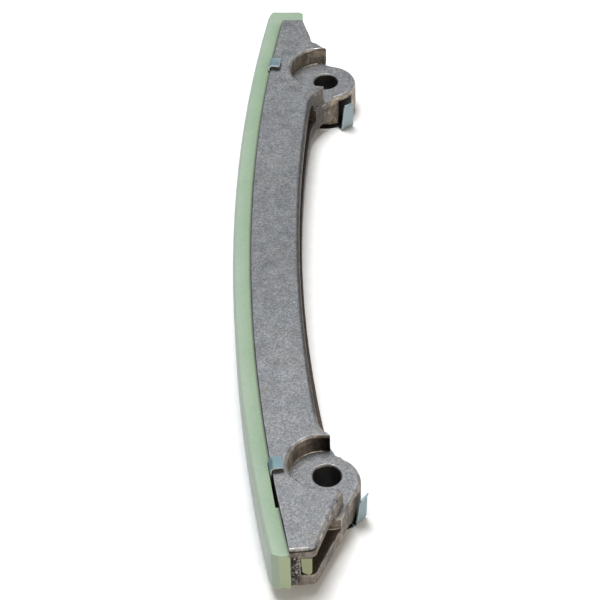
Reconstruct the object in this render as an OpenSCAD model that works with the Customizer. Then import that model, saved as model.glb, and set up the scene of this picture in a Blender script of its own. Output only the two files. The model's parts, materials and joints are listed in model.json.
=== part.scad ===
// Timing chain guide: a curved die-cast channel with two bolt bosses, a moulded
// shoe on its convex side that the chain runs on, and two spring clips.
// It lies on its back: the bolt axes point along Z, the shoe faces -X.

/* [Bolts and bosses] */
// Distance between the two bolt axes
hole_spacing = 195; // [170:1:220]
// Diameter of each bolt hole
bolt_hole_d = 8.5; // [6:0.1:10]
// Chamfer round the front of each bolt hole
bolt_chamfer = 0.5; // [0.2:0.1:1]
// Outer diameter of each boss
boss_d = 20; // [19:0.2:23]
// How far the bosses stand behind the back of the beam
boss_proud = 3.4; // [2:0.1:5]
// How much smaller in radius the boss is behind the beam
boss_draft = 0.1; // [0.1:0.1:0.6]
// Shift of the upper boss from its bolt axis away from the shoe
upper_boss_out = 0.9; // [0:0.1:1.5]
// Shift of the lower boss from its bolt axis away from the shoe
lower_boss_out = 0.2; // [0:0.1:1.5]
// Shift of the lower boss from its bolt axis towards the lower end
lower_boss_down = 1.5; // [0:0.1:2]
// Depth of each spot face below the front of the casting
recess_depth = 7; // [5:0.5:8]
// Radius of the upper spot face
upper_recess_r = 11.5; // [10:0.1:13]
// Radius of the lower spot face
lower_recess_r = 10.6; // [10:0.1:12]
// Shift of each spot face from the bolt axis towards the shoe
recess_shift_x = 1.1; // [0:0.1:3]
// Shift of each spot face from the bolt axis towards the lower end
recess_shift_y = 0.6; // [0:0.1:2]

/* [Beam] */
// Radius of the convex face that carries the shoe
face_radius = 736; // [650:1:850]
// Distance from the line of the bolts to the crown of that face
crown_reach = 25; // [22:0.5:28]
// Height of the crown above the middle of the bolts
crown_shift = 11; // [0:0.5:16]
// Depth of the beam from front to back
beam_depth = 16; // [14:0.5:20]
// Width of the front flange at its waist
front_waist = 16.1; // [14:0.1:18]
// Radius of the front flange's concave edge
front_edge_radius = 668; // [600:1:800]
// Height of the front flange's waist above the middle of the bolts
front_edge_shift = 10; // [0:0.5:14]
// Width of the back flange at its waist
back_waist = 16.7; // [14:0.1:18]
// Radius of the back flange's concave edge
back_edge_radius = 572; // [520:1:650]
// Height of the back flange's waist above the middle of the bolts
back_edge_shift = 17; // [8:0.5:20]
// Fillet from the front flange to the lower side of the upper boss
front_upper_fillet = 16; // [12:0.5:22]
// Fillet from the back flange to the lower side of the upper boss
back_upper_fillet = 20; // [14:0.5:24]
// Fillet from the front flange to the upper side of the lower boss
front_lower_fillet = 13.5; // [8:0.5:16]
// Fillet from the back flange to the upper side of the lower boss
back_lower_fillet = 6; // [4:0.5:20]
// Fillet from the upper end to the upper boss
end_fillet = 12.5; // [8:0.5:16]

/* [Ends of the casting] */
// Distance from the lower bolt axis to the lower end
lower_end_reach = 35.3; // [30:0.1:42]
// Width of the lower end
lower_end_width = 7.5; // [6:0.1:10]
// Tilt of the lower end in degrees
lower_end_tilt = 5; // [0:0.5:8]
// Taper of the front flange's free edge at the lower end in degrees
front_end_taper = 19; // [15:0.5:21]
// Corner radius of the lower end
lower_end_corner = 2.6; // [1:0.1:3]
// Distance from the upper bolt axis to the upper end
upper_end_reach = 29.5; // [26:0.1:34]
// Width of the upper end
upper_end_width = 7.3; // [6:0.1:10]
// Corner radius of the upper end at its free edge
upper_end_corner = 1.2; // [0.5:0.1:2]
// Corner radius of the upper end at the convex face
upper_face_corner = 1.5; // [0.5:0.1:2.5]
// Taper of the upper end's free edge in degrees
upper_end_taper = 14; // [8:0.5:18]

/* [Channel] */
// Thickness of the web behind the shoe
web = 3.2; // [2.5:0.1:4]
// Thickness of the front flange
front_flange = 4; // [3:0.1:5]
// Thickness of the back flange
back_flange = 4.5; // [3:0.1:5]
// Wall left round the lower boss where the channel ends
lower_boss_wall = 6; // [2.5:0.1:9]
// Wall left round the upper boss where the channel ends
upper_boss_wall = 8; // [2.5:0.1:9]
// How much nearer to the boss the channel comes along the web
channel_creep = 2.3; // [1:0.1:3]
// Inside corner radius of the channel
channel_corner = 3; // [1:0.1:4]
// Length of the window that the tang of the shoe passes through
window_length = 7; // [6:0.1:8]
// Bridge of web left between the window and the lower end
window_bridge = 3.3; // [2.5:0.1:4.5]

/* [Shoe] */
// Thickness of the shoe
shoe_thickness = 5.8; // [4.5:0.1:7]
// How much narrower the shoe is than the casting on each side
shoe_inset = 0.6; // [0.3:0.1:1]
// Rounding of the long edges of the sliding face
shoe_edge = 1.2; // [0.5:0.1:2]
// Gap between the shoe and the casting
shoe_gap = 0.1; // [0.05:0.05:0.3]
// How far the shoe runs past the lower end of the casting
shoe_overrun = 1.7; // [0.5:0.1:3]
// Thickness of the hook over the upper end of the casting
hook_thickness = 5.2; // [4:0.1:7]
// Rounding of the free corner of the hook
hook_corner = 1; // [0.5:0.1:2]
// Length of the hook's front ramp along its upper edge
hook_ramp_top = 2.4; // [1.5:0.1:3]
// Length of the hook's front ramp along its lower edge
hook_ramp_foot = 0.9; // [0.5:0.1:1.4]
// Depth of the hook's front ramp at the free corner
hook_ramp_depth = 0.6; // [0.2:0.1:1]
// Length of the lead-in bevel at each end of the sliding face
lead_in_length = 4.1; // [3:0.1:6]
// Depth of the lead-in bevel below the sliding face
lead_in_depth = 0.6; // [0.2:0.1:1]
// Height of the steeper bevel at the tip of each end
tip_height = 1.1; // [0.5:0.1:2]
// Width of the steeper bevel at the lower tip
lower_tip_width = 2.4; // [0.5:0.1:3]
// Width of the steeper bevel at the upper tip
upper_tip_width = 0.9; // [0.5:0.1:2.5]
// Thickness of the tang's arm behind the web
tang_thickness = 3.1; // [2:0.1:3.5]
// How far the tang's arm stops short of the lower end
tang_setback = 0.4; // [0.2:0.1:1]
// Gap round the tang in the window and the channel
tang_gap = 0.15; // [0.1:0.05:0.3]

/* [Clips] */
// Thickness of the clip's steel
clip_t = 0.6; // [0.5:0.1:1]
// Gap between the clip's leg and the casting
clip_gap = 0.1; // [0.05:0.05:0.2]
// Width of the clip's leg and front hook
clip_w = 4.8; // [4:0.1:6]
// Shift of the lower clip's leg from the clip's own axis towards the lower end
lower_leg_shift = 0.6; // [0:0.1:3]
// Shift of the upper clip's leg from the clip's own axis towards the lower end
upper_leg_shift = 2.3; // [0:0.1:3]
// How far the front hook reaches over the casting
clip_hook = 3.5; // [2:0.1:4.5]
// Height of the front hook above the casting
hook_rise = 1.6; // [1.2:0.1:2.5]
// Inside radius of the bend into the front hook
hook_bend = 1; // [0.5:0.1:1.5]
// Radius of the clip's plate round the bolt
clip_plate_r = 9.8; // [8:0.1:11]
// Radial room between the bolt hole and the clip's hole
clip_hole_gap = 0.45; // [0.2:0.05:1]
// Width of the arm from the plate to the leg
clip_arm_w = 8; // [6:0.1:10]
// Inside radius of the bends at the clip's plate
clip_bend = 0.8; // [0.5:0.1:1.2]
// Radius of the plate's lobe beside the outer tab
lobe_r = 12.2; // [11:0.1:13]
// Room between the back of the lower boss and the bend of the lower clip's outer tab
lower_tab_room = 0.4; // [0.1:0.1:3]
// Room between the back of the upper boss and the bend of the upper clip's outer tab
upper_tab_room = 2.3; // [0.1:0.1:3]
// Width of the outer tab at its foot
tab_w = 5; // [4:0.1:6]
// Width of the outer tab at its tip
tab_tip_w = 3.8; // [3:0.1:4]
// Height of the outer tab above the back of the boss
tab_height = 11.5; // [8:0.1:12.5]
// Height of the flared tip
tab_flare_height = 1.6; // [1:0.1:2.5]
// How far the tip flares outwards
tab_flare = 0.6; // [0.2:0.1:1]
// How far the upright of the tab leans outwards
tab_lean = 0.7; // [0:0.1:1]
// Direction of the lower clip's outer tab from the clip's own axis in degrees
lower_tab_angle = 44; // [30:1:55]
// Direction of the upper clip's outer tab from the clip's own axis in degrees
upper_tab_angle = 49; // [30:1:55]
// Angle from the middle of the tab to the start of the lobe in degrees
lobe_start = 14; // [13:1:20]
// Angle that the lobe spans in degrees
lobe_span = 32; // [20:1:45]
// Room for the clip's leg in the shoe
relief_room = 0.2; // [0.1:0.05:0.4]
// How far the relief in the shoe runs on below the lower clip's leg
lower_relief = 13; // [0.5:0.5:14]
// How far the relief in the shoe runs on below the upper clip's leg
upper_relief = 0.5; // [0.5:0.5:10]

/* [Hidden] */
$fa = 0.5;
$fs = 0.3;
// Number of sides of a whole circle as large as the beam's own curves
long_arc = 1440;

// Overlap that makes each cut run clear of the face it starts from
clear = 1;
// How far a round runs into the edges beside it, so that they cross and never only touch
joint = 0.02;

lower_hole = [0, 0];
upper_hole = [0, hole_spacing];
holes = [lower_hole, upper_hole];
bolt_r = bolt_hole_d / 2;
boss_r = boss_d / 2;
lower_boss = lower_hole + [lower_boss_out, -lower_boss_down];
upper_boss = upper_hole + [upper_boss_out, 0];
bosses = [lower_boss, upper_boss];

beam_back = boss_proud;
front = beam_back + beam_depth;
floor_z = front - recess_depth;
channel_low = beam_back + back_flange;
channel_high = front - front_flange;

middle_y = hole_spacing / 2;
face_centre = [face_radius - crown_reach, middle_y + crown_shift];
front_edge = [front_edge_radius - crown_reach + front_waist, middle_y + front_edge_shift];
back_edge = [back_edge_radius - crown_reach + back_waist, middle_y + back_edge_shift];

low_end = -lower_end_reach;
high_end = hole_spacing + upper_end_reach;
far_left = -2 * crown_reach;
far_right = 2 * boss_r;

// Place on a circle about the face's centre, at a given height along the beam
function arc_x(r, y) = face_centre.x - sqrt(r ^ 2 - (y - face_centre.y) ^ 2);
function face_x(y) = arc_x(face_radius, y);
function unit(v) = v / norm(v);
function polar(c, r, a) = c + r * [cos(a), sin(a)];

// Where two circles meet, on the given side of the line between their centres
function meet(c1, r1, c2, r2, side) =
    let (d = norm(c2 - c1), u = (c2 - c1) / d, a = (r1 ^ 2 - r2 ^ 2 + d ^ 2) / (2 * d))
    c1 + a * u + side * sqrt(r1 ^ 2 - a ^ 2) * [-u.y, u.x];

// Rounding of a corner between two edges: its centre and its two tangent points
function corner_half(a, b) = acos(a * b) / 2;
function corner_centre(v, a, b, r) = v + unit(a + b) * r / sin(corner_half(a, b));
function corner_tangent(v, a, b, r) = v + a * r / tan(corner_half(a, b));

// Lower end: the back flange's free edge is tangent to the lower boss, and the front flange's
// free edge starts at the same corner and runs further in
low_across = [-cos(lower_end_tilt), -sin(lower_end_tilt)];
low_corner = [face_x(low_end), low_end] - lower_end_width * low_across;
low_away = low_corner - lower_boss;
low_touch_r = boss_r - joint;
low_touch_angle = atan2(low_away.y, low_away.x) + acos(low_touch_r / norm(low_away));
back_low_touch = polar(lower_boss, low_touch_r, low_touch_angle);
front_low_along = [sin(front_end_taper), cos(front_end_taper)];
front_low_touch = low_corner - (low_away * front_low_along) * front_low_along;
left = [-1, 0];
right = [1, 0];
up = [0, 1];

// Upper end: its free edge tapers and runs into the upper boss through a fillet
high_corner = [face_x(high_end) + upper_end_width, high_end];
high_along = [sin(upper_end_taper), -cos(upper_end_taper)];
high_out = [cos(upper_end_taper), sin(upper_end_taper)];
high_edge = high_corner + (upper_end_reach - boss_r) * high_along;
high_start = high_corner + (end_fillet - joint) * high_out - upper_boss;
high_slope = high_start * high_along;
high_reach = (boss_r + end_fillet - joint) ^ 2 - high_start * high_start;
high_run = -high_slope - sqrt(high_slope ^ 2 + high_reach);
high_fillet = high_start + upper_boss + high_run * high_along;

// Rounded corner of the upper end at the convex face
face_corner = [face_x(high_end), high_end];
face_out = unit(face_corner - face_centre);
face_down = [-face_out.y, face_out.x];
face_corner_centre = corner_centre(face_corner, right, face_down, upper_face_corner);

// The clip's own axis runs from the bolt square to the convex face
function clip_reach(hole) = face_radius - norm(face_centre - hole);
function clip_turn(hole) = atan2(face_centre.y - hole.y, face_centre.x - hole.x);

// Shoe
shoe_inner = face_radius + shoe_gap;
shoe_outer = shoe_inner + shoe_thickness;
shoe_low_z = beam_back + shoe_inset;
shoe_high_z = front - shoe_inset;
shoe_low = low_end - shoe_overrun;
hook_low = high_end + shoe_gap;
shoe_high = hook_low + hook_thickness;
window_low = low_end + window_bridge;

// Fills the corner between an edge and a boss, round the fillet's centre c
module corner_fill(c, r, to_edge, boss) {
    in_edge = c + (r + web) * to_edge;
    in_boss = c + (r + web) * unit(boss - c);
    difference() {
        polygon([c, in_edge, [in_edge.x, boss.y], in_boss]);
        translate(c) circle(r);
    }
}

// Fillet between the beam's concave edge and a boss
module edge_fillet(edge, edge_r, boss, r, side) {
    c = meet(edge, edge_r - r + joint, boss, boss_r + r - joint, side);
    corner_fill(c, r, unit(c - edge), boss);
}

// Outline of one flange: ends, waist, bosses and fillets, cut by the convex face
module flange_outline(edge, edge_r, low_touch, lower_fillet, upper_fillet) {
    low_along = unit(low_touch - low_corner);
    intersection() {
        translate(face_centre) circle(face_radius, $fn = long_arc);
        union() {
            difference() {
                polygon([
                    low_corner - far_left * low_across,
                    corner_tangent(low_corner, low_across, low_along, lower_end_corner),
                    corner_tangent(low_corner, low_along, low_across, lower_end_corner),
                    low_touch,
                    lower_boss,
                    upper_boss,
                    high_edge,
                    corner_tangent(high_corner, high_along, left, upper_end_corner),
                    corner_tangent(high_corner, left, high_along, upper_end_corner),
                    [far_left, high_end]
                ]);
                intersection() {
                    translate(edge) circle(edge_r, $fn = long_arc);
                    translate([far_left, 0]) square([-2 * far_left, hole_spacing]);
                }
            }
            for (boss = bosses) translate(boss) circle(boss_r);
            edge_fillet(edge, edge_r, lower_boss, lower_fillet, -1);
            edge_fillet(edge, edge_r, upper_boss, upper_fillet, 1);
            corner_fill(high_fillet, end_fillet, -high_out, upper_boss);
            translate(corner_centre(low_corner, low_across, low_along, lower_end_corner))
                circle(lower_end_corner + joint);
            translate(corner_centre(high_corner, left, high_along, upper_end_corner))
                circle(upper_end_corner + joint);
        }
    }
}

// Outline of the flange at the back, which is the wider one
module back_outline() {
    flange_outline(back_edge, back_edge_radius, back_low_touch, back_lower_fillet, back_upper_fillet);
}

// Outline of the flange at the front
module front_outline() {
    flange_outline(front_edge, front_edge_radius, front_low_touch, front_lower_fillet, front_upper_fillet);
}

// Waste outside the rounded corner of the upper end, from a gap off the rounding outwards
module face_corner_waste(gap) {
    past = upper_face_corner + clear;
    difference() {
        polygon([
            face_corner_centre,
            face_corner_centre + past * up,
            corner_centre(face_corner, right, face_down, -clear),
            face_corner_centre + past * face_out
        ]);
        translate(face_corner_centre) circle(upper_face_corner + gap + joint);
    }
}

// Plan of the channel between two heights, open on the concave side
module channel_plan(low, high, low_closed, high_closed) {
    low_round = low_closed ? channel_corner : 0;
    high_round = high_closed ? channel_corner : 0;
    intersection() {
        translate(face_centre) circle(face_radius - web, $fn = long_arc);
        union() {
            translate([far_left, low + low_round])
                square([far_right - far_left, high - low - low_round - high_round]);
            if (low_closed) channel_end(low, 1);
            if (high_closed) channel_end(high, -1);
        }
    }
}

// Closed end of the channel with one rounded corner at the web
module channel_end(y, inward) {
    x = face_x(y) + web + channel_corner;
    centre_y = y + inward * channel_corner;
    translate([x, min(y, centre_y)]) square([far_right - x, channel_corner]);
    translate([x, centre_y]) circle(channel_corner + joint);
}

// Spot face: a round cut that opens towards the free side of the boss
module spot_face(hole, recess_r) {
    translate([hole.x - recess_shift_x, hole.y - recess_shift_y, floor_z]) {
        cylinder(h = recess_depth + clear, r = recess_r + joint);
        translate([0, -recess_r, 0]) cube([far_right, 2 * recess_r, recess_depth + clear]);
    }
}

// Bolt hole with a chamfer at the spot face
module bolt_hole(hole) {
    translate([hole.x, hole.y, -clear]) cylinder(h = front + 2 * clear, r = bolt_r);
    translate([hole.x, hole.y, floor_z - bolt_chamfer])
        cylinder(h = 2 * bolt_chamfer, r1 = bolt_r, r2 = bolt_r + 2 * bolt_chamfer);
}

// Die-cast channel with its two bosses
module guide_body() {
    channel_h = channel_high - channel_low;
    lower_reach = boss_r + lower_boss_wall;
    upper_reach = boss_r + upper_boss_wall;
    lower_web_reach = lower_reach - channel_creep;
    upper_web_reach = upper_reach - channel_creep;
    color("#8f8d88")
    difference() {
        union() {
            translate([0, 0, beam_back]) linear_extrude(floor_z - beam_back) back_outline();
            translate([0, 0, floor_z]) linear_extrude(front - floor_z) front_outline();
            for (boss = bosses)
                translate(boss) cylinder(h = channel_low, r = boss_r - boss_draft);
        }
        spot_face(lower_hole, lower_recess_r);
        spot_face(upper_hole, upper_recess_r);
        for (hole = holes) bolt_hole(hole);
        translate([0, 0, channel_low]) linear_extrude(channel_h) difference() {
            union() {
                channel_plan(lower_boss.y + lower_web_reach, upper_boss.y - upper_web_reach, true, true);
                channel_plan(low_end - clear, lower_boss.y - lower_web_reach, false, true);
            }
            translate(lower_boss) circle(lower_reach);
            translate(upper_boss) circle(upper_reach);
        }
        translate([0, 0, beam_back - clear]) linear_extrude(beam_depth + 2 * clear) face_corner_waste(0);
        translate([far_left, window_low, channel_low])
            cube([face_x(window_low) + web + clear - far_left, window_length, channel_h]);
    }
}

// Section of the shoe's strip, with rounded edges along the sliding face
module shoe_section() {
    width = shoe_high_z - shoe_low_z;
    translate([shoe_inner, shoe_low_z]) square([shoe_thickness - shoe_edge, width]);
    translate([shoe_inner, shoe_low_z + shoe_edge]) square([shoe_thickness, width - 2 * shoe_edge]);
    for (z = [shoe_low_z + shoe_edge, shoe_high_z - shoe_edge])
        translate([shoe_outer - shoe_edge, z]) circle(shoe_edge);
}

// Strip of the shoe, revolved about the face's centre and cut square at the ends
module shoe_strip() {
    low_turn = asin((face_centre.y - shoe_low + clear) / shoe_inner);
    high_turn = asin((shoe_high + clear - face_centre.y) / shoe_inner);
    intersection() {
        translate(face_centre) rotate(180 - high_turn)
            rotate_extrude(angle = high_turn + low_turn, $fn = long_arc) shoe_section();
        translate([2 * far_left, shoe_low, 0]) cube([-2 * far_left, shoe_high - shoe_low, front]);
    }
}

// Hook of the shoe over the upper end of the casting
module shoe_hook() {
    shoe_x = arc_x(shoe_inner + shoe_thickness / 2, hook_low);
    hook_x = high_corner.x;
    translate([0, 0, shoe_low_z]) linear_extrude(shoe_high_z - shoe_low_z) {
        polygon([
            [shoe_x, hook_low],
            [hook_x, hook_low],
            [hook_x, shoe_high - hook_corner],
            [hook_x - hook_corner, shoe_high],
            [shoe_x, shoe_high]
        ]);
        translate([hook_x - hook_corner, shoe_high - hook_corner]) circle(hook_corner + joint);
    }
}

// Ramp that lowers the front of the hook towards its free corner
module hook_ramp() {
    turn = atan2(hook_ramp_top - hook_ramp_foot, hook_thickness);
    run = hook_ramp_top * cos(turn);
    translate([high_corner.x - hook_ramp_top, shoe_high, shoe_high_z]) rotate(turn)
        translate([0, clear, 0]) rotate([90, 0, 0]) linear_extrude(2 * hook_thickness) polygon([
            [0, 0],
            [2 * run, -2 * hook_ramp_depth],
            [2 * run, clear],
            [0, clear]
        ]);
}

// Fill of the shoe's inside corner, which follows the rounded corner of the casting
module shoe_corner() {
    translate([0, 0, shoe_low_z + shoe_gap])
        linear_extrude(shoe_high_z - shoe_low_z - 2 * shoe_gap) face_corner_waste(shoe_gap);
}

// Tang of the shoe: a stem through the window and an arm behind the web
module shoe_tang() {
    stem_low = window_low + tang_gap;
    stem_high = window_low + window_length - tang_gap;
    arm_low = low_end + tang_setback;
    shoe_x = arc_x(shoe_inner + shoe_thickness / 2, stem_high);
    arm_left = face_x(low_end) + web + tang_gap;
    translate([0, 0, channel_low + tang_gap])
    linear_extrude(channel_high - channel_low - 2 * tang_gap) {
        translate([shoe_x, stem_low])
            square([arm_left + tang_thickness - shoe_x, stem_high - stem_low]);
        translate([arm_left, arm_low]) square([tang_thickness, stem_high - arm_low]);
    }
}

// Lead-in bevel at one end of the sliding face, with the steeper bevel at its tip
module lead_in(end_y, inward, tip_width) {
    start_y = end_y + inward * lead_in_length;
    tip_y = end_y + inward * tip_height;
    tip_x = arc_x(shoe_outer, tip_y) + lead_in_depth;
    outside_x = arc_x(shoe_outer, start_y) - shoe_thickness;
    translate([0, 0, -clear]) linear_extrude(front + 2 * clear) polygon([
        [tip_x + tip_width, end_y],
        [tip_x, tip_y],
        [arc_x(shoe_outer, start_y), start_y],
        [outside_x, start_y],
        [outside_x, end_y - inward * clear],
        [tip_x + tip_width, end_y - inward * clear]
    ]);
}

// Relief in the back of the shoe for the leg of one clip
module clip_relief(hole, leg_shift, run) {
    low = -leg_shift - clip_w / 2 - run;
    high = -leg_shift + clip_w / 2 + relief_room;
    depth = clip_gap + clip_t + relief_room;
    translate(hole) rotate(clip_turn(hole))
        translate([-clip_reach(hole) - depth, low, 0]) cube([depth + clear, high - low, front]);
}

// Moulded shoe that the chain slides on
module chain_shoe() {
    color("#a8c8a2")
    difference() {
        union() {
            shoe_strip();
            shoe_hook();
            shoe_corner();
            shoe_tang();
        }
        hook_ramp();
        lead_in(shoe_low, 1, lower_tip_width);
        lead_in(shoe_high, -1, upper_tip_width);
        clip_relief(lower_hole, lower_leg_shift, lower_relief);
        clip_relief(upper_hole, upper_leg_shift, upper_relief);
    }
}

// Quarter bend of clip steel, from lying flat to standing up on its outer side
module bend_section(r) {
    intersection() {
        difference() {
            circle(r + clip_t);
            circle(r);
        }
        translate([0, -r - clip_t]) square(r + clip_t);
    }
}

// Flat foot of a tab or a leg, part of the plate, up to the start of the bend
module clip_foot(foot_end) {
    translate([foot_end, 0]) rotate(180) square([foot_end - boss_r / 2, clip_t]);
}

// Profile of the outer tab: flat foot, bend, upright and flared tip
module tab_profile(tab_r) {
    upright = tab_height - tab_flare_height;
    foot_end = tab_r - clip_bend;
    clip_foot(foot_end);
    translate([foot_end, clip_bend]) bend_section(clip_bend);
    translate([foot_end + clip_bend, 0]) polygon([
        [0, clip_bend],
        [clip_t, clip_bend],
        [clip_t + tab_lean, upright],
        [clip_t + tab_lean + tab_flare, tab_height],
        [tab_lean + tab_flare, tab_height],
        [tab_lean, upright]
    ]);
}

// Outer tab, which narrows from its foot to its tip
module outer_tab(tab_r, tab_angle) {
    narrowing = (tab_w - tab_tip_w) / 2 / tab_height;
    low_half = tab_w / 2 + narrowing * clear;
    high_half = tab_tip_w / 2 - narrowing * clear;
    intersection() {
        clip_strip(-tab_angle, tab_w + 2 * clear) tab_profile(tab_r);
        rotate(-tab_angle) rotate([90, 0, 90]) linear_extrude(2 * tab_r) polygon([
            [-low_half, -clear],
            [low_half, -clear],
            [high_half, tab_height + clear],
            [-high_half, tab_height + clear]
        ]);
    }
}

// Profile of the leg: flat foot, bend, upright and hook over the front face
module leg_profile(reach) {
    inner = reach + clip_gap;
    foot_end = inner - clip_bend;
    hook_end = inner - hook_bend;
    hook_z = front + hook_rise;
    clip_foot(foot_end);
    translate([foot_end, clip_bend]) bend_section(clip_bend);
    translate([inner, clip_bend]) square([clip_t, hook_z - hook_bend - clip_bend]);
    translate([hook_end, hook_z - hook_bend]) mirror([0, 1]) bend_section(hook_bend);
    translate([reach - clip_hook, hook_z]) square([hook_end - reach + clip_hook, clip_t]);
}

// Stands a profile up and gives it a width, centred on the given direction
module clip_strip(angle, width) {
    rotate(angle) translate([0, width / 2, 0]) rotate([90, 0, 0]) linear_extrude(width) children();
}

// Flat plate of the clip under the boss, with its lobe beside the outer tab
module clip_plate(reach, leg_shift, tab_angle) {
    lobe_near = -tab_angle - lobe_start;
    lobe_far = lobe_near - lobe_span;
    difference() {
        union() {
            circle(clip_plate_r);
            translate([clip_bend - reach, -leg_shift - clip_arm_w / 2])
                square([reach - clip_bend, clip_arm_w]);
            intersection() {
                circle(lobe_r);
                polygon([
                    [0, 0],
                    polar([0, 0], 2 * lobe_r, lobe_far),
                    polar([0, 0], 2 * lobe_r, lobe_near)
                ]);
            }
        }
        circle(bolt_r + clip_hole_gap);
    }
}

// Spring clip about one bolt: plate, leg hooked over the front, and outer tab
module spring_clip(hole, boss, leg_shift, tab_room, tab_angle) {
    reach = clip_reach(hole);
    turn = clip_turn(hole);
    boss_toward = (boss - hole) * polar([0, 0], 1, turn - tab_angle);
    tab_r = boss_toward + boss_r - boss_draft + tab_room + clip_bend;
    translate(hole) rotate(turn) color("#b9c2c9") {
        translate([0, 0, -clip_t]) linear_extrude(clip_t) clip_plate(reach, leg_shift, tab_angle);
        translate([0, -leg_shift, 0]) clip_strip(180, clip_w) leg_profile(reach);
        outer_tab(tab_r, tab_angle);
    }
}

module upper_clip() {
    spring_clip(upper_hole, upper_boss, upper_leg_shift, upper_tab_room, upper_tab_angle);
}

module lower_clip() {
    spring_clip(lower_hole, lower_boss, lower_leg_shift, lower_tab_room, lower_tab_angle);
}

guide_body();
chain_shoe();
upper_clip();
lower_clip();
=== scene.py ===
# %% [markdown]
# A timing chain guide, dressed for a picture.
# The guide is a curved bar of die-cast aluminium with a bolt boss near each end.
# A strip of green nylon lies along its convex side, where the chain slides, and
# two spring clips of zinc-plated steel hold the strip to the bar.
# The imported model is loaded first, because every piece is measured from it.

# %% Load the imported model
import json
from math import cos, radians, sin

import bmesh
import bpy
from mathutils import Matrix, Vector, noise
from mathutils.bvhtree import BVHTree


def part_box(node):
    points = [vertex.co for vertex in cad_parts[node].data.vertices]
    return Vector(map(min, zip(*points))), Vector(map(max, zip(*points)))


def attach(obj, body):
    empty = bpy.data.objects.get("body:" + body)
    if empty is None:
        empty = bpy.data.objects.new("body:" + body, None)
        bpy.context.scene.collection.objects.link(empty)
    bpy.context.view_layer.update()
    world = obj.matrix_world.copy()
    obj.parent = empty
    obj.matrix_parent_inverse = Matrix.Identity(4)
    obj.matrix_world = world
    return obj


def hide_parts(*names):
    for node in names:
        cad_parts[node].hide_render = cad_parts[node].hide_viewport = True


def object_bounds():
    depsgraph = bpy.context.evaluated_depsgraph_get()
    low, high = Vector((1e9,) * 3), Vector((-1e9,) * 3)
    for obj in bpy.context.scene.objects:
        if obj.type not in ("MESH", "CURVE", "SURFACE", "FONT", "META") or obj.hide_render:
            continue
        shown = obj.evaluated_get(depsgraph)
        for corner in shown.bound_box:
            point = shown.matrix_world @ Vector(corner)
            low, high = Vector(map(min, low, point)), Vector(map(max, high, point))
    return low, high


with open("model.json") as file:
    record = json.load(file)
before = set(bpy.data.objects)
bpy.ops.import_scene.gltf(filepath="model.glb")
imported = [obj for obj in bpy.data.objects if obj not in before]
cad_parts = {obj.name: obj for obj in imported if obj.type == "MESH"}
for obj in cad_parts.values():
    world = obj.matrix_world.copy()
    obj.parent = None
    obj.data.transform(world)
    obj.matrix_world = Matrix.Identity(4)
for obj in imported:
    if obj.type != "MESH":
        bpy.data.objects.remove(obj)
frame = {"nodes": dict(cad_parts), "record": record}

MM = 0.001
cad_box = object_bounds()
print("packed pieces:", sorted(frame["nodes"]))
print("box in mm:", [round(v / MM, 1) for corner in cad_box for v in corner])

# %% [markdown]
# The camera stands where the photograph was taken from: almost in line with the bar,
# a little under half way up, and far off with a long lens, so the bar narrows only a
# little towards its far end. A camera can be turned by angles, but here its three
# axes are worked out and put into one matrix, which also takes the small roll.

# %% Place the camera
view_turn = radians(1.34)
view_height = radians(42.81)
view_roll = radians(-1.4)
view_aim = Vector((-8.44, 69.77, 19.54)) * MM
view_distance = 695.2 * MM
view_focus_px = 2164.4
picture_px = 600
sensor = 36
upwards = Vector((0, 0, 1))

level_back = Vector((sin(view_turn), -cos(view_turn), 0))
back = cos(view_height) * level_back + sin(view_height) * upwards
level = upwards.cross(back).normalized()
raised = back.cross(level)
across = cos(view_roll) * level + sin(view_roll) * raised
upright = cos(view_roll) * raised - sin(view_roll) * level

lens = bpy.data.cameras.new("studio_camera")
lens.sensor_fit = "HORIZONTAL"
lens.sensor_width = sensor
lens.lens = view_focus_px * sensor / picture_px
camera = bpy.data.objects.new("studio_camera", lens)
bpy.context.scene.collection.objects.link(camera)
turn = Matrix((across, upright, back)).transposed().to_4x4()
camera.matrix_world = Matrix.Translation(view_aim + view_distance * back) @ turn
bpy.context.scene.camera = camera
print("lens in mm:", round(lens.lens, 1))

# %% [markdown]
# Node trees are easier to read when one short helper adds a node, sets its values and
# joins its inputs. A value that is a socket is linked, and anything else is set.

# %% Helpers for nodes
def put(tree, kind, values=None, **settings):
    """Adds a node, sets its own settings, then sets or links its inputs by name or number."""
    made = tree.nodes.new(kind)
    for name, value in settings.items():
        setattr(made, name, value)
    for name, value in (values or {}).items():
        if isinstance(value, bpy.types.NodeSocket):
            tree.links.new(value, made.inputs[name])
        else:
            made.inputs[name].default_value = value
    return made


def coloured(shade):
    """A colour with full alpha, from a colour or a grey."""
    return (*shade, 1) if isinstance(shade, tuple) else (shade, shade, shade, 1)


def ramp(tree, factor, *stops):
    """A colour ramp through the given (place, grey or colour) stops."""
    made = put(tree, "ShaderNodeValToRGB", {"Fac": factor})
    band = made.color_ramp.elements
    while len(band) < len(stops):
        band.new(0.5)
    for stop, (place, shade) in zip(band, stops):
        stop.position = place
        stop.color = coloured(shade)
    return made.outputs["Color"]


def mix(tree, factor, first, second, blend="MIX"):
    """Mixes two colours; MULTIPLY tints the first with the second."""
    first, second = (coloured(shade) if isinstance(shade, tuple) else shade for shade in (first, second))
    values = {0: factor, 6: first, 7: second}
    return put(tree, "ShaderNodeMix", values, data_type="RGBA", blend_type=blend).outputs[2]


def sums(tree, kind, first, second, clamp=False):
    """One step of arithmetic."""
    return put(tree, "ShaderNodeMath", {0: first, 1: second}, operation=kind, use_clamp=clamp).outputs[0]


def vectors(tree, kind, first, second):
    """One step of arithmetic with vectors."""
    return put(tree, "ShaderNodeVectorMath", {0: first, 1: second}, operation=kind).outputs


def all_of(tree, first, *others):
    """Where all the masks hold: their product."""
    for other in others:
        first = sums(tree, "MULTIPLY", first, other)
    return first


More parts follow.
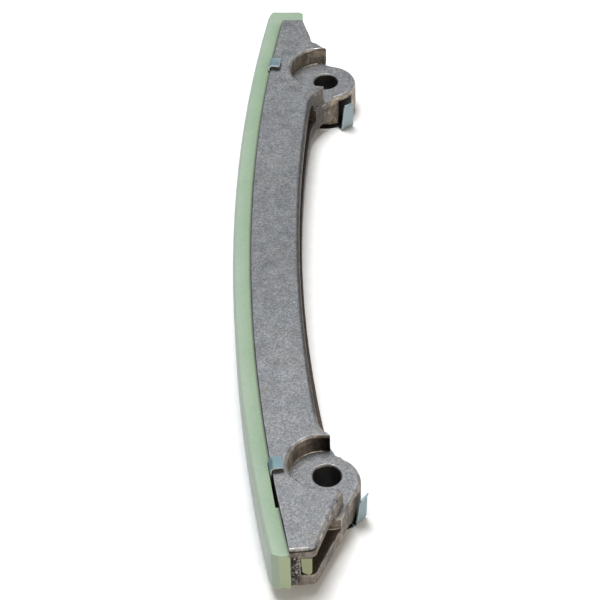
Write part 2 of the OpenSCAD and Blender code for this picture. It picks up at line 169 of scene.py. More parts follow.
def between(tree, value, low, high, start=0.0, end=1.0):
    """A value spread from low..high to start..end and held there."""
    named = {"Value": value, "From Min": low, "From Max": high, "To Min": start, "To Max": end}
    return put(tree, "ShaderNodeMapRange", named).outputs["Result"]


def on_piece(tree):
    """The place on the piece, in its own coordinates."""
    return put(tree, "ShaderNodeTexCoord").outputs["Object"]

# %% [markdown]
# A material is made in three steps: the shader with its constant values, the nodes that
# change over the surface, and the links between them. The first and last are alike for
# every material, so they are helpers too, and so is an empty node group.

# %% Helpers for groups and materials
def group(name, inputs, outputs):
    """An empty node group with float sockets, and its given and taken sockets."""
    tree = bpy.data.node_groups.new(name, "ShaderNodeTree")
    for socket, start in inputs.items():
        made = tree.interface.new_socket(socket, in_out="INPUT", socket_type="NodeSocketFloat")
        made.default_value = start
    for socket in outputs:
        tree.interface.new_socket(socket, in_out="OUTPUT", socket_type="NodeSocketFloat")
    return tree, tree.nodes.new("NodeGroupInput").outputs, tree.nodes.new("NodeGroupOutput").inputs


def use(tree, made, **values):
    """Puts a node group into a material with its own values."""
    return put(tree, "ShaderNodeGroup", values, node_tree=made).outputs


def material(name, **sockets):
    """A new material with its Principled shader; constant values are set on its sockets."""
    made = bpy.data.materials.new(name)
    made.use_nodes = True
    shader = made.node_tree.nodes["Principled BSDF"]
    for socket, value in sockets.items():
        shader.inputs[socket.replace("_", " ")].default_value = value
    return made, made.node_tree


def dress(made, relief=None, **sockets):
    """Joins what changes over a surface to its shader; relief is a bump's height, strength and depth."""
    tree = made.node_tree
    if relief:
        values = dict(zip(("Height", "Strength", "Distance"), relief))
        sockets["Normal"] = put(tree, "ShaderNodeBump", values).outputs["Normal"]
    for socket, value in sockets.items():
        tree.links.new(value, tree.nodes["Principled BSDF"].inputs[socket.replace("_", " ")])
    print(made.name, "nodes:", len(tree.nodes))

# %% [markdown]
# Four surface effects come back on several pieces, so each is a node group.
# Grain is the fine unevenness of a cast or moulded skin. Patches are the slow drift of
# tone that stains and handling leave. Flecks are the sparse small marks of a skin that
# has been knocked. Wear brightens the rounded edges: the pieces carry an attribute,
# edge_wear, that is 1 along the middle of their rounded edges and 0 elsewhere.
# All of them could be painted on images, but noise needs no unwrapping and stays sharp.

# %% Grain, patches, flecks and wear
def scale_for(tree, size):
    """The scale of a texture whose features have a size."""
    return sums(tree, "DIVIDE", 1.0, size)


grain, given, taken = group("grain", {"Size": 1 * MM, "Detail": 4.0, "Stretch": 1.0}, ["Height", "Speckle"])
axes = put(grain, "ShaderNodeCombineXYZ", {"X": 1.0, "Y": 1.0, "Z": given["Stretch"]}).outputs[0]
drawn_out = vectors(grain, "MULTIPLY", on_piece(grain), axes)[0]
fine = put(grain, "ShaderNodeTexNoise", {"Vector": drawn_out, "Scale": scale_for(grain, given["Size"]),
                                         "Detail": given["Detail"], "Roughness": 0.65}).outputs["Fac"]
grain.links.new(fine, taken["Height"])
grain.links.new(between(grain, fine, 0.34, 0.66), taken["Speckle"])

patches, given, taken = group("patches", {"Size": 10 * MM, "Low": 0.4, "High": 0.6, "Seed": 0.0}, ["Mask"])
slow = put(patches, "ShaderNodeTexNoise",
           {"Vector": on_piece(patches), "W": given["Seed"], "Scale": scale_for(patches, given["Size"]),
            "Detail": 3.0, "Roughness": 0.55}, noise_dimensions="4D").outputs["Fac"]
patches.links.new(between(patches, slow, given["Low"], given["High"]), taken["Mask"])

flecks, given, taken = group("flecks", {"Size": 4 * MM, "Reach": 0.1, "Share": 0.2}, ["Mask"])
cells = put(flecks, "ShaderNodeTexVoronoi",
            {"Vector": on_piece(flecks), "Scale": scale_for(flecks, given["Size"])}).outputs
full_reach = sums(flecks, "MULTIPLY", given["Reach"], 0.5)
spots = between(flecks, cells["Distance"], given["Reach"], full_reach)
lot = put(flecks, "ShaderNodeSeparateColor", {"Color": cells["Color"]}).outputs[0]
chosen_cell = sums(flecks, "LESS_THAN", lot, given["Share"])
flecks.links.new(all_of(flecks, spots, chosen_cell), taken["Mask"])

wear, given, taken = group("wear", {"Size": 2 * MM, "Amount": 0.8}, ["Mask"])
along_edge = put(wear, "ShaderNodeAttribute", attribute_name="edge_wear").outputs["Fac"]
uneven = put(wear, "ShaderNodeTexNoise", {"Vector": on_piece(wear), "Scale": scale_for(wear, given["Size"]),
                                          "Detail": 3.0}).outputs["Fac"]
rubbed = all_of(wear, along_edge, between(wear, uneven, 0.4, 0.62))
wear.links.new(sums(wear, "MULTIPLY", rubbed, given["Amount"], True), taken["Mask"])
print("shared effects:", [made.name for made in bpy.data.node_groups])

# %% [markdown]
# A casting has no knife edges: the die leaves small radii, and tumbling rounds them more.
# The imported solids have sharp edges, so each piece gets a rounded copy that stands for it.
# A Bevel modifier with edge weights could do this, but it doesn't notice where a piece is too
# narrow and the new faces run through others. So the bevels are made here, in groups of edges
# that each have their own width, from wide to narrow. Faces that cross are looked for after
# each trial, and the edges close to them go to the next narrower group.

# %% Find faces that cross
def crossings(work):
    """The middles of the triangles that run through other triangles of the same mesh."""
    cut = work.copy()
    bmesh.ops.triangulate(cut, faces=cut.faces)
    cut.faces.ensure_lookup_table()
    tree = BVHTree.FromBMesh(cut, epsilon=0.0)
    pairs = [(cut.faces[a], cut.faces[b]) for a, b in tree.overlap(tree) if a < b]
    apart = [pair for pair in pairs if not set(pair[0].verts) & set(pair[1].verts)]
    places = [face.calc_center_median() for pair in apart for face in pair]
    cut.free()
    return places


def close_to(edge, places, reach):
    """Whether an edge passes within reach of one of the places."""
    start, end = (vert.co for vert in edge.verts)
    along = end - start
    no_length = 1e-18
    size = max(along.length_squared, no_length)
    for spot in places:
        share = min(1, max(0, (spot - start).dot(along) / size))
        if (start + share * along - spot).length < reach:
            return True
    return False

# %% Bevel one group of edges
most_trials = 12
crossing_reach = 1.2


def bevel_group(work, number, width, segments):
    """Bevels the edges that carry a number; those that would make faces cross get the next number."""
    passed_on = 0
    for _ in range(most_trials):
        trial = work.copy()
        kind = trial.edges.layers.int["bevel_group"]
        chosen = [edge for edge in trial.edges if edge[kind] == number]
        made = bmesh.ops.bevel(trial, geom=chosen, offset=width, offset_type="OFFSET", segments=segments,
                               profile=0.5, affect="EDGES", clamp_overlap=False, material=-1)
        places = crossings(trial)
        if not places:
            rim = trial.faces.layers.int["rim"]
            for face in made["faces"]:
                face[rim] = 1
            for edge in trial.edges:
                if edge[kind] == number:
                    edge[kind] = 0
            work.free()
            return trial, len(chosen), passed_on
        trial.free()
        kind = work.edges.layers.int["bevel_group"]
        for edge in work.edges:
            if edge[kind] == number and close_to(edge, places, crossing_reach * width):
                edge[kind] = number + 1
                passed_on += 1
    return work, 0, passed_on

# %% [markdown]
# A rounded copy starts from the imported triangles, merged to whole faces. Each sharp edge
# gets the number of its group, the groups are bevelled one after another, and the middles
# of the new faces are marked for wear, except on the side that another piece covers.

# %% Make a rounded copy
sharp_angle = radians(28)
flat_angle = radians(0.4)
touching = 1e-7
covered_cosine = 0.3


def placed(name, work):
    """A new object in the scene with the shape of a bmesh, which is freed."""
    mesh = bpy.data.meshes.new(name)
    work.to_mesh(mesh)
    work.free()
    piece = bpy.data.objects.new(name, mesh)
    bpy.context.scene.collection.objects.link(piece)
    return piece


def rounded_copy(node, slot, group_of, covered, *widths):
    """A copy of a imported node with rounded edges, worn except where they look along covered."""
    work = bmesh.new()
    work.from_mesh(frame["nodes"][node].data)
    bmesh.ops.remove_doubles(work, verts=work.verts, dist=touching)
    bmesh.ops.dissolve_limit(work, angle_limit=flat_angle, verts=work.verts, edges=work.edges)
    kind = work.edges.layers.int.new("bevel_group")
    work.faces.layers.int.new("rim")
    for edge in work.edges:
        if edge.calc_face_angle(0) > sharp_angle:
            edge[kind] = group_of(edge)
    for number, (width, segments) in enumerate(widths, 1):
        work, done, passed_on = bevel_group(work, number, width * MM, segments)
        print(node, "width in mm:", width, "bevelled edges:", done, "passed on:", passed_on)
    rim = work.faces.layers.int["rim"]
    worn = work.loops.layers.float.new("edge_wear")
    for face in work.faces:
        face.smooth = True
        if face[rim] and face.normal.dot(covered) < covered_cosine:
            for loop in face.loops:
                loop[worn] = float(all(near[rim] for near in loop.vert.link_faces))
    for edge in work.edges:
        edge.smooth = edge.calc_face_angle(0) < sharp_angle
    open_edges = sum(not edge.is_manifold for edge in work.edges)
    print(node, "rounded faces:", len(work.faces), "open edges:", open_edges,
          "volume in mm3:", round(work.calc_volume() / MM ** 3, 1))
    piece = placed(node + "_rounded", work)
    piece.modifiers.new("even_shading", "WEIGHTED_NORMAL").keep_sharp = True
    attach(piece, "root")
    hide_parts(node)
    return piece

# %% [markdown]
# Each kind of edge is known by where it lies. The rims of the spot faces, the concave side of
# the front face and the upright corners below each boss are well rounded, the front's other
# outer edges a little less, and the rest of the casting less again. The bolt holes have fine
# chamfers already, so their edges are hardly rounded at all. The tang of the shoe has a round
# underside, so that it slides into its window. The edges could be picked by hand, but then
# they would have to be picked anew whenever the model is packed again.

# %% Round the casting
spot_face_depth = 7.0 * MM
same_level = 0.02 * MM
chamfer_reach = 1.8 * MM
corner_reach = 18 * MM
looks_along = 0.8
to_shoe = Vector((-1, 0, 0))
casting_widths = (1.5, 5), (1.0, 4), (0.4, 3), (0.15, 2)

front_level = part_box("guide_body")[1].z
spot_level = front_level - spot_face_depth
bores = [mount for mount in frame["record"]["mounts"] if mount["kind"] == "bore"]
hole_axes = [Vector(mount["pos_m"]) for mount in bores]
hole_radius = bores[0]["dims"]["r_mm"] * MM
print("bolt axes in mm:", [[round(v / MM, 1) for v in axis] for axis in hole_axes])


def at_height(edge, height):
    """Whether an edge is an outward one of a level face at a height."""
    return edge.is_convex and all(abs(vert.co.z - height) < same_level for vert in edge.verts)


def casting_group(edge):
    """1 for the widest rounding, 2 for the front edges, 4 for the holes and 3 for the rest."""
    middle = (edge.verts[0].co + edge.verts[1].co) / 2
    if any((middle - axis).to_2d().length < hole_radius + chamfer_reach for axis in hole_axes):
        return 4
    hollow_side = any(face.normal.x > looks_along for face in edge.link_faces)
    if at_height(edge, spot_level) or at_height(edge, front_level) and hollow_side:
        return 1
    stands = (edge.verts[0].co - edge.verts[1].co).to_2d().length < same_level
    at_front = max(vert.co.z for vert in edge.verts) > front_level - same_level
    by_boss = any(-corner_reach < middle.y - axis.y < 0 for axis in hole_axes)
    if edge.is_convex and stands and at_front and by_boss:
        return 1
    beside_shoe = any(face.normal.x < -looks_along for face in edge.link_faces)
    return 2 if at_height(edge, front_level) and not beside_shoe else 3


casting = rounded_copy("guide_body", "cast_aluminium", casting_group, to_shoe, *casting_widths)

# %% Round the shoe and the clips
channel_floor = 7.9 * MM
tang_gap = 0.15 * MM
long_enough = 3 * MM
looks_half_along = 0.5
to_nothing = Vector((0, 0, 0))
shoe_widths = (1.5, 6), (0.8, 4), (0.25, 3)
clip_widths = (0.12, 2), (0.05, 1)


def shoe_group(edge):
    """1 under the tang, 2 for the long outward edges, 0 beside the casting and 3 for the rest."""
    start, end = (vert.co for vert in edge.verts)
    if at_height(edge, channel_floor + tang_gap) and abs(end.x - start.x) < same_level:
        return 1
    for face in edge.link_faces:
        under_hook = face.normal.y < -looks_half_along and start.y > hole_axes[-1].y
        if face.normal.x > looks_half_along or under_hook:
            return 0
    lies_level = abs(end.z - start.z) < same_level
    return 2 if edge.is_convex and lies_level and (end - start).length > long_enough else 3


def clip_group(edge):
    """All edges of a clip are alike."""
    return 1


shoe = rounded_copy("chain_shoe", "green_nylon", shoe_group, -to_shoe, *shoe_widths)
clips = [rounded_copy(name, "plated_steel", clip_group, to_nothing, *clip_widths)
         for name in ("upper_clip", "lower_clip")]

# %% [markdown]
# The metal entered the die through a gate at the lower end. When the part is broken off its
# runner, a narrow rough scar is left on the end face. It is real relief, so it is made as a
# thin plate with an uneven outer face, sunk a little into the casting, instead of as bump.

# %% Find the lower end face
end_face = min((face for face in frame["nodes"]["guide_body"].data.polygons if face.normal.y < -0.9),
               key=lambda face: face.center.y)
outward = end_face.normal.copy()
end_centre = end_face.center.copy()
sideways = upwards.cross(outward).normalized()
corners = [vert.co for vert in frame["nodes"]["guide_body"].data.vertices]
on_end = [spot for spot in corners if abs((spot - end_centre).dot(outward)) < same_level]
inner_edge = min(on_end, key=lambda spot: spot.dot(sideways))
foot = min(spot.z for spot in on_end)
print("lower end face: y in mm", round(end_centre.y / MM, 1), "foot in mm", round(foot / MM, 1))

# %% Gate scar on the lower end
scar_width = 2.3 * MM
scar_height = 11.6 * MM
scar_from_edge = 1.6 * MM
scar_base = 1.2 * MM
scar_rise = 0.28 * MM
scar_root = 0.4 * MM
scar_cells = (14, 60)
side_slope, end_slope = 6, 14
lump_scale = (4, 18)
lump_power, lump_step, lump_layers = 0.6, 2.1, 5
ragged_scale, ragged_share = 26, 0.12
least_rise, mean_rise, rise_swing = 0.15, 0.55, 0.6

scar_middle = inner_edge + scar_from_edge * sideways
scar_middle.z = foot + scar_base + scar_height / 2
work = bmesh.new()
bmesh.ops.create_grid(work, x_segments=scar_cells[0], y_segments=scar_cells[1], size=0.5)
for vert in work.verts:
    x, y = vert.co.x, vert.co.y
    fall = min(1, side_slope * (0.5 - abs(x)), end_slope * (0.5 - abs(y)))
    lump = Vector((x * lump_scale[0], y * lump_scale[1], 3.1))
    rough = noise.fractal(lump, lump_power, lump_step, lump_layers)
    ragged = noise.noise(Vector((0.3, y * ragged_scale, 7.7)))
    vert.co.x *= 1 + ragged_share * ragged
    vert.co.z = scar_rise * fall * min(1, max(least_rise, mean_rise + rise_swing * rough))
bmesh.ops.scale(work, vec=(scar_width, scar_height, 1), verts=work.verts)
rear = bmesh.ops.extrude_face_region(work, geom=work.faces[:])["geom"]
for part in rear:
    if isinstance(part, bmesh.types.BMVert):
        part.co.z = -scar_root
bmesh.ops.recalc_face_normals(work, faces=work.faces)
stand = Matrix((sideways, upwards, outward)).transposed().to_4x4()
bmesh.ops.transform(work, matrix=Matrix.Translation(scar_middle) @ stand, verts=work.verts)
outmost_y = min(vert.co.y for vert in work.verts)
print("gate scar faces:", len(work.faces), "lowest y in mm:", round(outmost_y / MM, 2))
scar = placed("gate_scar", work)
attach(scar, "root")

# %% [markdown]
# Die-cast aluminium is a dull grey with a mottled skin: paler where the metal chilled first,
# darker where the die was greasy, with a fine grain all over. A photograph of cast metal
# would give this at once, but noise of several sizes gives it from every side.

# %% Cast aluminium: the mottled skin
dark_grey, pale_grey = (0.165, 0.170, 0.177), (0.228, 0.234, 0.243)
blue_stain, brown_stain = (0.17, 0.21, 0.27), (0.26, 0.21, 0.16)

metal, tree = material("cast_skin", Specular_IOR_Level=0.35)
skin = use(tree, grain, Size=0.6 * MM, Detail=4.0)
mottle = use(tree, grain, Size=3.6 * MM, Detail=5.0)
cool = use(tree, patches, Size=12 * MM, Low=0.42, High=0.66, Seed=2.0)["Mask"]
warm = use(tree, patches, Size=6 * MM, Low=0.5, High=0.7, Seed=7.0)["Mask"]
tone = mix(tree, mottle["Speckle"], dark_grey, pale_grey)
tone = mix(tree, all_of(tree, cool, 0.10), tone, blue_stain)
tone = mix(tree, all_of(tree, warm, 0.14), tone, brown_stain)
print("mottled skin:", metal.name)

# %% [markdown]
# The walls that the die drew along are browner and streaked upright, with golden and sooty
# patches; their brown is partly the die's stain and partly painted shade. The walls of the
# bosses are painted lighter as painted light, the upper boss most, and the walls that look
# towards the shoe are darkened as painted shade. They could be faces with materials of their
# own, but then the change would be hard. Here masks tell the walls from the level faces by
# their normals, and the bosses by the distance from the bolt axes.

# %% Cast aluminium: the walls
dark_brown, pale_brown = (0.110, 0.094, 0.080), (0.200, 0.178, 0.156)
gold, soot, shaded = (0.34, 0.29, 0.235), (0.10, 0.088, 0.078), (0.035, 0.030, 0.026)
lower_gain, upper_gain = (1.18, 1.15, 1.11), (1.85, 1.76, 1.68)
boss_reach = 11.5 * MM
low_axis, high_axis = (Vector((axis.x, axis.y, 0)) for axis in hole_axes)
half_way = (low_axis.y + high_axis.y) / 2


def looks_and_place(tree):
    """The X, Y and Z of the way a surface looks, and of its place on the piece."""
    normal = put(tree, "ShaderNodeNewGeometry").outputs["Normal"]
    looks = put(tree, "ShaderNodeSeparateXYZ", {"Vector": normal}).outputs
    return looks, put(tree, "ShaderNodeSeparateXYZ", {"Vector": on_piece(tree)}).outputs


def off_from(tree, spot):
    """The level distance from an upright line through a spot."""
    flat_place = vectors(tree, "MULTIPLY", on_piece(tree), (1, 1, 0))[0]
    return vectors(tree, "DISTANCE", flat_place, spot)["Value"]


looks, place = looks_and_place(tree)
wall = between(tree, looks["Z"], 0.2, 0.85, 1.0, 0.0)
streaks = use(tree, grain, Size=1.6 * MM, Detail=3.0, Stretch=0.12)["Speckle"]
golden = use(tree, patches, Size=5 * MM, Low=0.52, High=0.68, Seed=5.0)["Mask"]
sooty = use(tree, patches, Size=7 * MM, Low=0.5, High=0.66, Seed=9.0)["Mask"]
# The brown of the walls is partly the die's stain and partly painted shade.
wall_tone_and_shade = ramp(tree, streaks, (0.0, dark_brown), (1.0, pale_brown))
wall_tone_and_shade = mix(tree, golden, wall_tone_and_shade, gold)
wall_tone_and_shade = mix(tree, sooty, wall_tone_and_shade, soot)
nearest = sums(tree, "MINIMUM", off_from(tree, low_axis), off_from(tree, high_axis))
on_boss = between(tree, nearest, boss_reach, boss_reach + 1 * MM, 1.0, 0.0)
below_spot = between(tree, place["Z"], spot_level - 0.5 * MM, spot_level, 1.0, 0.0)
upper_half = sums(tree, "GREATER_THAN", place["Y"], half_way)
# The boss walls below the spot faces are painted lighter as painted light, the upper one most.
painted_boss_light = mix(tree, upper_half, lower_gain, upper_gain)
wall_tone_and_shade = mix(tree, all_of(tree, on_boss, below_spot), wall_tone_and_shade, painted_boss_light, "MULTIPLY")
# Walls that look towards the shoe are darkened as painted shade.
wall_tone_and_shade = mix(tree, between(tree, looks["X"], -0.1, -0.45), wall_tone_and_shade, shaded)
tone = mix(tree, wall, tone, wall_tone_and_shade)
print("walls of the bosses within mm:", boss_reach / MM)

# %% [markdown]
# The bores and the floor of the channel are painted dark as shade. Between the bosses the
# rounded edge on the concave side is painted dark as shade, and the middle of the bar is a
# little greasy.
# These are masks again, by height, distance and normal, so no face has to be picked.

# %% Cast aluminium: the channel, the bores and the span
channel_floor_shade, bore_shade, hollow_edge_shade = (0.075, 0.058, 0.045), (0.03, 0.027, 0.026), (0.055, 0.053, 0.053)
greasy_tint = 0.87
span_start = 11 * MM
span_fade = 9 * MM

near_floor = between(tree, place["Z"], channel_floor + 0.2 * MM, channel_floor + 1.2 * MM, 1.0, 0.0)
faces_up = between(tree, looks["Z"], 0.5, 0.9)
# Painted shade on the floor of the channel.
tone = mix(tree, all_of(tree, near_floor, faces_up), tone, channel_floor_shade)
in_bore = between(tree, nearest, hole_radius + 0.05 * MM, hole_radius + 0.25 * MM, 1.0, 0.0)
# Painted shade inside the bores.
tone = mix(tree, in_bore, tone, bore_shade)
low_start, high_start = low_axis.y + span_start, high_axis.y - span_start
past_low = between(tree, place["Y"], low_start, low_start + span_fade)
past_high = between(tree, place["Y"], high_start, high_start - span_fade)
mid_span = all_of(tree, past_low, past_high)
# Painted shade on the concave side's rounded edge between the bosses.
shaded_hollow_edge = all_of(tree, mid_span, between(tree, looks["X"], 0.05, 0.6))
tone = mix(tree, shaded_hollow_edge, tone, hollow_edge_shade)
off_middle = sums(tree, "ABSOLUTE", sums(tree, "SUBTRACT", place["Y"], half_way), 0.0)
greasy = between(tree, off_middle, 20 * MM, 60 * MM, 1.0, 0.0)
tone = mix(tree, 1.0, tone, ramp(tree, greasy, (0.0, 1.0), (1.0, greasy_tint)), "MULTIPLY")
print("span between the bosses in mm:", round(low_start / MM, 1), "to", round(high_start / MM, 1))

# %% [markdown]
# Painted shade darkens the walls in the gaps where the tabs of the clips stand off the
# bosses and at the right of the lower step, and a painted dark reflection lies under the
# front rim of the lower end. In three places the walls carry a painted golden highlight: the
# near rim of the upper boss and a part of each step. These patches are few and small, so a
# spot, a reach and two heights say where each one is.

# %% Cast aluminium: painted shade and highlights
shade_black, highlight_gold = (0.013, 0.010, 0.008), (0.56, 0.47, 0.34)
soft = 0.4 * MM
below_all = -1 * MM
tab_depth = 2 * MM
tab_clear = 0.8 * MM
tab_shade = {"upper_clip": ((-2.5, -2.7), 2.8 * MM, 3.5 * MM),
             "lower_clip": ((-1.2, -0.9), 2.0 * MM, 2.7 * MM)}
end_middle = Vector((-8, -35.3, 0)) * MM


def beyond(spot, x, y):
    """A level spot at some mm from another."""
    return spot + Vector((x, y, 0)) * MM


def on_wall(spot, core, reach, low, high):
    """1 on the walls of the casting near a spot and between two heights."""
    near = between(tree, off_from(tree, spot), core, reach, 1.0, 0.0)
    under = between(tree, place["Z"], high - soft, high, 1.0, 0.0)
    over = between(tree, place["Z"], low, low + soft)
    return all_of(tree, near, wall, under, over)


high_rim, high_step = beyond(high_axis, 3.6, -10.2), beyond(high_axis, -3.0, 13.5)
low_step, low_corner = beyond(low_axis, -8.0, 11.4), beyond(low_axis, 2.0, 13.5)
# Painted golden highlights on three walls.
painted_highlights = [on_wall(high_rim, 2.5 * MM, 5.5 * MM, spot_level - 3 * MM, spot_level),
         on_wall(high_step, 1.5 * MM, 5.0 * MM, front_level - 4 * MM, front_level - 1 * MM),
         on_wall(low_step, 1.0 * MM, 5.5 * MM, front_level - 3 * MM, front_level - 0.6 * MM)]
# Painted shade at the right of the lower step, and a painted dark reflection under the front rim of the
# lower end.
shade_patches = [on_wall(low_corner, 4.0 * MM, 10.0 * MM, spot_level - soft, front_level - 1 * MM),
         on_wall(end_middle, 22 * MM, 26 * MM, front_level - 1.5 * MM, front_level - 0.3 * MM)]
# Painted shade in the gaps behind the tabs of the clips.
for name, (shift, core, reach) in tab_shade.items():
    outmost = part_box(name)[1].x
    tab = [vert.co for vert in frame["nodes"][name].data.vertices if vert.co.x > outmost - tab_depth]
    tab_middle = sum(tab, Vector()) / len(tab)
    tab_middle.z = 0
    tab_top = max(spot.z for spot in tab)
    print(name, "tab in mm:", [round(v / MM, 1) for v in tab_middle], "top:", round(tab_top / MM, 1))
    shade_patches.append(on_wall(beyond(tab_middle, *shift), core, reach, below_all, tab_top - tab_clear))
for mask in painted_highlights:
    tone = mix(tree, all_of(tree, mask, streaks), tone, highlight_gold)
under_shade = 0.0
for mask in shade_patches:
    tone = mix(tree, mask, tone, shade_black)
    under_shade = sums(tree, "MAXIMUM", mask, under_shade)

# %% [markdown]
# Last come the grain, small pits and nicks, and the edges, which are rubbed to bare metal and
# painted paler as a highlight, but much less between the bosses. A node that compares normals
# could find the edges, but the bevels already know where they are and say so in the attribute.
# Bare metal is smoother and more metallic. The painted shade is metallic too, because a dark
# metal reflects very little.

# %% Cast aluminium: grain, wear and painted edge highlights
pit, nick, bare_metal_and_highlight = (0.07, 0.065, 0.06), (0.55, 0.56, 0.57), (0.60, 0.565, 0.53)
smoother = 0.25

nicks = use(tree, flecks, Size=5.5 * MM, Reach=0.06, Share=0.2)["Mask"]
pits = use(tree, flecks, Size=4.8 * MM, Reach=0.07, Share=0.12)["Mask"]
wear_and_highlight = use(tree, wear, Size=2.5 * MM, Amount=0.7)["Mask"]
wear_and_highlight = all_of(tree, wear_and_highlight, between(tree, mid_span, 0, 1, 1.0, 0.1))
speckled = ramp(tree, skin["Speckle"], (0.0, 0.62), (0.5, 1.0), (1.0, 1.46))
tone = mix(tree, 1.0, tone, speckled, "MULTIPLY")
tone = mix(tree, pits, tone, pit)
tone = mix(tree, nicks, tone, nick)
# Rounded edges: worn to bare metal and painted paler as a highlight.
tone = mix(tree, wear_and_highlight, tone, bare_metal_and_highlight)
dull = between(tree, mottle["Speckle"], 0, 1, 0.48, 0.62)
gloss = sums(tree, "SUBTRACT", dull, all_of(tree, wear_and_highlight, smoother))
metallic = between(tree, sums(tree, "MAXIMUM", wear_and_highlight, under_shade), 0, 1, 0.45, 1.0)
dress(metal, (skin["Height"], 0.3, 0.2 * MM), Base_Color=tone, Roughness=gloss, Metallic=metallic)
casting.data.materials.append(metal)

# %% [markdown]
# The scar is the same metal, broken: black in its hollows, with pale specks on its peaks.
# One ramp over the grain gives both, and the same grain is its bump.

# %% Broken metal of the scar
broken, tree = material("broken_metal", Metallic=0.5, Roughness=0.6)
torn = use(tree, grain, Size=0.7 * MM, Detail=5.0)
tone = ramp(tree, torn["Speckle"], (0.0, 0.012), (0.55, (0.035, 0.03, 0.026)), (0.75, (0.22, 0.20, 0.18)),
            (1.0, 0.5))
dress(broken, (torn["Height"], 0.8, 0.3 * MM), Base_Color=tone)
scar.data.materials.append(broken)

# %% [markdown]
# The shoe is moulded from a pale green nylon. Light goes a little way into it, so its
# thin edges look paler than its faces, and the skin has a satin gloss with a slow drift
# from bluish to yellowish green and a few small dents. Across its front it turns darker and
# yellower towards the casting, with a painted dark line of shade in the seam. How far a place is
# across the shoe is its distance from the centre of the shoe's arc.

# %% Green nylon: the moulded skin
blue_green, yellow_green = (0.268, 0.352, 0.262), (0.302, 0.378, 0.292)

nylon, tree = material("green_nylon_skin", Subsurface_Weight=0.2, Subsurface_Scale=1.5 * MM,
                       Subsurface_Radius=(0.8, 1.0, 0.7), Specular_IOR_Level=0.4)
skin = use(tree, grain, Size=0.8 * MM, Detail=4.0)
drift = use(tree, patches, Size=20 * MM, Low=0.35, High=0.65, Seed=4.0)["Mask"]
tone = ramp(tree, drift, (0.0, blue_green), (1.0, yellow_green))
tone = mix(tree, 1.0, tone, ramp(tree, skin["Speckle"], (0.0, 0.95), (1.0, 1.05)), "MULTIPLY")
print("moulded skin:", nylon.name)

# %% Green nylon: across the front, the ends and the tang
arc_centre = Vector((711.0, 108.5, 0)) * MM
arc_radius = 736.08 * MM
shoe_thickness = 5.8 * MM
inside_arc = 1 * MM
tang_depth = 4 * MM
casting_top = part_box("guide_body")[1].y
slide_green, end_warm_light, tang_oil_and_shade = (0.315, 0.372, 0.31), (0.315, 0.380, 0.245), (0.86, 0.78, 0.70)

looks, place = looks_and_place(tree)
off_centre = off_from(tree, arc_centre)
across_shoe = between(tree, off_centre, arc_radius - inside_arc, arc_radius + shoe_thickness)
shade = ramp(tree, across_shoe, (0.10, 1.0), (0.15, 0.40), (0.19, 0.45), (0.25, (0.80, 0.86, 0.74)),
             (0.55, (0.91, 0.96, 0.92)), (0.80, 1.0))
beside_casting = between(tree, place["Y"], casting_top - 4 * MM, casting_top - 1 * MM, 1.0, 0.0)
# The ramp across the front holds a painted dark line of shade in the seam by the casting.
tone = mix(tree, beside_casting, tone, shade, "MULTIPLY")
tone = mix(tree, between(tree, looks["X"], -0.15, -0.8), tone, slide_green)
# The ends that look along -Y get a painted yellowish tint of warm light.
tone = mix(tree, between(tree, looks["Y"], -0.9, -0.99), tone, end_warm_light)
far_inside = between(tree, off_centre, arc_radius - tang_depth, arc_radius - tang_depth + 1 * MM, 1.0, 0.0)
at_low_end = sums(tree, "LESS_THAN", place["Y"], low_axis.y)
# The tang is darkened, partly as oil and partly as painted shade.
tone = mix(tree, all_of(tree, far_inside, at_low_end), tone, tang_oil_and_shade, "MULTIPLY")
print("shoe's arc in mm:", [round(v / MM, 1) for v in arc_centre[:2]], "radius:", round(arc_radius / MM, 1))

# %% Green nylon: dents and wear
dent, rubbed_green = (0.17, 0.22, 0.16), (0.42, 0.50, 0.41)

dents = use(tree, flecks, Size=9 * MM, Reach=0.035, Share=0.2)["Mask"]
rubbed = use(tree, wear, Size=4 * MM, Amount=0.5)["Mask"]
tone = mix(tree, dents, tone, dent)
tone = mix(tree, rubbed, tone, rubbed_green)
satin = between(tree, drift, 0, 1, 0.42, 0.52)
dress(nylon, (skin["Height"], 0.1, 0.1 * MM), Base_Color=tone, Roughness=satin)
shoe.data.materials.append(nylon)

# %% [markdown]
# The clips are stamped from spring steel and zinc plated: a bluish metal, faintly
# cloudy, with white edges where the strip was sheared. The ends that look along -Y are
# paler, partly as sheared steel and partly as a painted highlight. A painted black shade
# lies on the plate under each boss, and painted shade darkens the lower hook more than the
# upper one. One material serves both clips, because the places tell the hooks and plates apart.

# %% Zinc-plated steel
dark_zinc, pale_zinc = (0.175, 0.255, 0.285), (0.235, 0.315, 0.345)
lower_hook_shade, plate_shade = (0.70, 0.77, 0.78), (0.012, 0.013, 0.014)
sheared_end_and_highlight, sheared_edge = (0.72, 0.75, 0.76), (0.75, 0.80, 0.82)

zinc, tree = material("zinc_skin", Metallic=0.55, Specular_IOR_Level=0.3)
cloud = use(tree, patches, Size=3 * MM, Low=0.35, High=0.65, Seed=1.0)["Mask"]
skin = use(tree, grain, Size=0.6 * MM, Detail=3.0)
sheared = use(tree, wear, Size=2 * MM, Amount=0.9)["Mask"]
tone = ramp(tree, cloud, (0.0, dark_zinc), (1.0, pale_zinc))
tone = mix(tree, 1.0, tone, ramp(tree, skin["Speckle"], (0.0, 0.92), (1.0, 1.08)), "MULTIPLY")
looks, place = looks_and_place(tree)
on_hook = between(tree, place["Z"], spot_level, front_level)
lower_half = sums(tree, "LESS_THAN", place["Y"], half_way)
# Painted shade darkens the lower hook.
tone = mix(tree, all_of(tree, on_hook, lower_half), tone, lower_hook_shade, "MULTIPLY")
on_plate = between(tree, place["Z"], 0.3 * MM, 1.0 * MM, 1.0, 0.0)
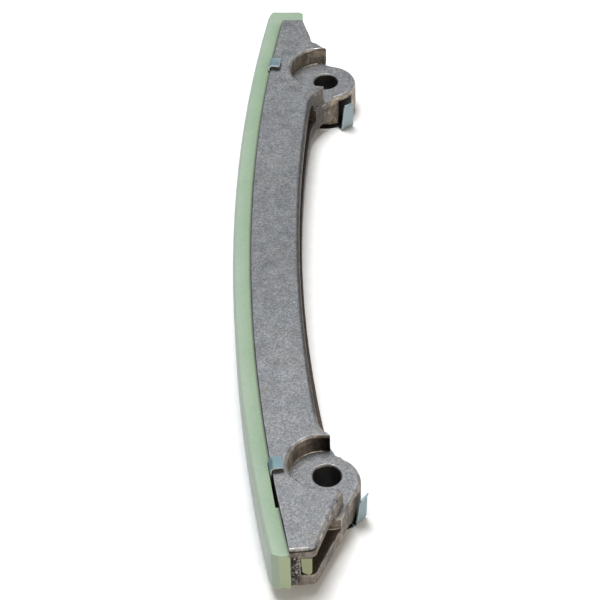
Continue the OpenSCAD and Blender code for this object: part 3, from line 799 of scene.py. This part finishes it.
# Painted black shade on the plate under each boss.
tone = mix(tree, all_of(tree, on_plate, between(tree, looks["Z"], 0.5, 0.9)), tone, plate_shade)
# The ends that look along -Y are painted paler: partly sheared steel, partly a painted highlight.
tone = mix(tree, between(tree, looks["Y"], -0.8, -0.97), tone, sheared_end_and_highlight)
tone = mix(tree, sheared, tone, sheared_edge)
satin = between(tree, cloud, 0, 1, 0.46, 0.58)
dress(zinc, (skin["Height"], 0.1, 0.05 * MM), Base_Color=tone, Roughness=satin)
for clip in clips:
    clip.data.materials.append(zinc)

# %% [markdown]
# The part lies on its back on a plain pale floor. A sheet of paper curved up behind the part is
# common in a studio, but it would stand in the way of views from behind. This camera looks
# down, so a wide level floor fills its picture as well.

# %% Floor
floor_reach = 3

work = bmesh.new()
bmesh.ops.create_grid(work, x_segments=1, y_segments=1, size=floor_reach)
bmesh.ops.translate(work, verts=work.verts, vec=(0, 0, cad_box[0].z))
floor = placed("studio_floor", work)
paper, tree = material("paper_floor", Roughness=0.9, Specular_IOR_Level=0.2)
fibre = use(tree, grain, Size=4 * MM, Detail=2.0)
dress(paper, Base_Color=ramp(tree, fibre["Speckle"], (0.0, 0.86), (1.0, 0.89)))
floor.data.materials.append(paper)
print("floor at mm:", round(cad_box[0].z / MM, 2))

# %% [markdown]
# A wide cool light stands above and beyond the part, so the faces that look up are bright
# and the walls that look at the camera fall into shade, as in the photograph. A weak warm
# light from the near right gives those walls their brown tinge, and a dim surround fills
# the rest. The picture is developed plainly, without the film-like curve that would make
# the pale floor grey.

# %% Light
surround_colour, surround_strength = (0.97, 0.98, 1.0), 0.24


def soft_light(name, offset, size, power, colour):
    """A square area light that stands off from the part and looks at its middle."""
    middle = (cad_box[0] + cad_box[1]) / 2
    lamp = bpy.data.lights.new(name, "AREA")
    lamp.size = size
    lamp.energy = power
    lamp.color = colour
    made = bpy.data.objects.new(name, lamp)
    bpy.context.scene.collection.objects.link(made)
    made.location = middle + Vector(offset)
    made.rotation_mode = "QUATERNION"
    made.rotation_quaternion = (-Vector(offset)).to_track_quat("-Z", "Y")
    print(name, "power in W:", power)


soft_light("key_light", offset=(-0.15, 0.2, 1.35), size=0.6, power=22, colour=(0.97, 0.985, 1.0))
soft_light("front_fill", offset=(0.65, -0.9, 0.4), size=0.5, power=5.5, colour=(1.0, 0.86, 0.68))
surround = bpy.data.worlds.new("dim_surround")
surround.use_nodes = True
sky = surround.node_tree.nodes["Background"].inputs
sky["Color"].default_value = coloured(surround_colour)
sky["Strength"].default_value = surround_strength
bpy.context.scene.world = surround
bpy.context.scene.view_settings.view_transform = "Standard"
